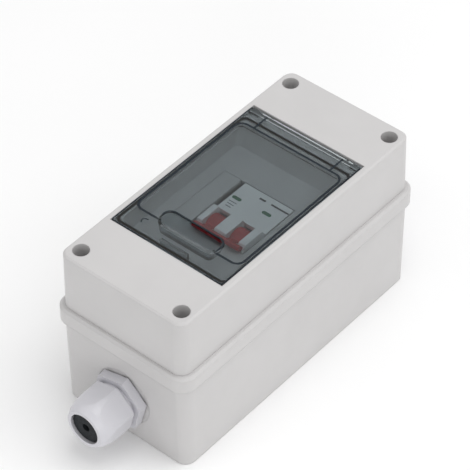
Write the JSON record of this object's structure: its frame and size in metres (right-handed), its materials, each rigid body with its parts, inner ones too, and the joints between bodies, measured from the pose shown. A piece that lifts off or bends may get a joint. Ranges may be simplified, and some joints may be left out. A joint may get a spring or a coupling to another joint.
{
  "type": "solar dc isolator switch",
  "caption": "Wall box with a two-pole DC isolator on a rail under a smoked hinged window cover, and a cable gland at each end.",
  "frame": {"origin": "centre of the box's back face, which is also the bottom of the object as it lies on its back", "axes": "+Z from the wall out through the lid, +Y along the box away from the gland seen in the picture, +X to the box's right side as the label reads from the near gland"},
  "size_m": [0.0992, 0.2714, 0.1147],
  "materials": {
    "housing_grey": "satin",
    "gland_grey": "satin",
    "seal_black": "matte",
    "smoked_clear": "polished",
    "screw_steel": "zinc",
    "rail_steel": "zinc",
    "clamp_steel": "zinc",
    "rivet_steel": "plain",
    "chute_steel": "plain",
    "case_grey": "satin",
    "toggle_red": "satin",
    "clip_black": "matte",
    "contact_copper": "plain"
  },
  "bodies": {
    "housing": {"base_box": "housing_grey", "lid": "housing_grey", "lid_gasket": "seal_black", "window_seal": "seal_black", "lid_screws": "screw_steel", "din_rail": "rail_steel", "rail_screws": "screw_steel", "blanking_strip": "housing_grey", "load_clamps": "clamp_steel", "line_clamps": "clamp_steel", "terminal_screws": "clamp_steel", "toggle_pins": "screw_steel", "contact_pins": "screw_steel", "case_rivets": "rivet_steel", "near_gland_washer": "seal_black", "near_gland_body": "gland_grey", "near_gland_locknut": "gland_grey", "near_gland_seal": "seal_black", "far_gland_washer": "seal_black", "far_gland_body": "gland_grey", "far_gland_locknut": "gland_grey", "far_gland_seal": "seal_black", "left_pole_case": "case_grey", "left_pole_cover": "case_grey", "left_fixed_contact": "contact_copper", "left_load_strap": "contact_copper", "left_arc_chute": "chute_steel", "right_pole_case": "case_grey", "right_pole_cover": "case_grey", "right_fixed_contact": "contact_copper", "right_load_strap": "contact_copper", "right_arc_chute": "chute_steel"},
    "window_cover": {"window_cover": "smoked_clear"},
    "toggle": {"left_toggle": "toggle_red", "right_toggle": "toggle_red", "toggle_tie_bar": "toggle_red"},
    "left_moving_contact": {"left_moving_contact": "contact_copper"},
    "right_moving_contact": {"right_moving_contact": "contact_copper"},
    "left_rail_clip": {"left_rail_clip": "clip_black"},
    "right_rail_clip": {"right_rail_clip": "clip_black"},
    "near_gland_cap": {"near_gland_cap": "gland_grey"},
    "far_gland_cap": {"far_gland_cap": "gland_grey"}
  },
  "joints": [
    {"name": "cover_hinge", "type": "hinge", "parent": "housing", "child": "window_cover", "pos_m": [0, 0.0602, 0.1121], "axis": [-1, 0, 0], "range_deg": [0, 92]},
    {"name": "toggle_throw", "type": "hinge", "parent": "housing", "child": "toggle", "pos_m": [0.0077, -0.0165, 0.0964], "axis": [-1, 0, 0], "range_deg": [0, 88]},
    {"name": "left_contact_swing", "type": "hinge", "parent": "housing", "child": "left_moving_contact", "pos_m": [-0.0019, -0.0071, 0.0767], "axis": [-1, 0, 0], "range_deg": [0, 18]},
    {"name": "right_contact_swing", "type": "hinge", "parent": "housing", "child": "right_moving_contact", "pos_m": [0.0161, -0.0071, 0.0767], "axis": [-1, 0, 0], "range_deg": [0, 18]},
    {"name": "left_clip_slide", "type": "slide", "parent": "housing", "child": "left_rail_clip", "axis": [0, -1, 0], "range_m": [0, 0.003], "stiffness_N_per_m": 1000, "springref_m": -0.001},
    {"name": "right_clip_slide", "type": "slide", "parent": "housing", "child": "right_rail_clip", "axis": [0, -1, 0], "range_m": [0, 0.003], "stiffness_N_per_m": 1000, "springref_m": -0.001},
    {"name": "near_cap_turn", "type": "hinge", "parent": "housing", "child": "near_gland_cap", "pos_m": [0, -0.12, 0.0292], "axis": [0, -1, 0], "range_deg": [0, 360]},
    {"name": "far_cap_turn", "type": "hinge", "parent": "housing", "child": "far_gland_cap", "pos_m": [0, 0.12, 0.0292], "axis": [0, 1, 0], "range_deg": [0, 360]}
  ],
  "couplings": [
    {"joint": "left_contact_swing", "follows": "toggle_throw", "ratio": 0.2045},
    {"joint": "right_contact_swing", "follows": "toggle_throw", "ratio": 0.2045}
  ]
}
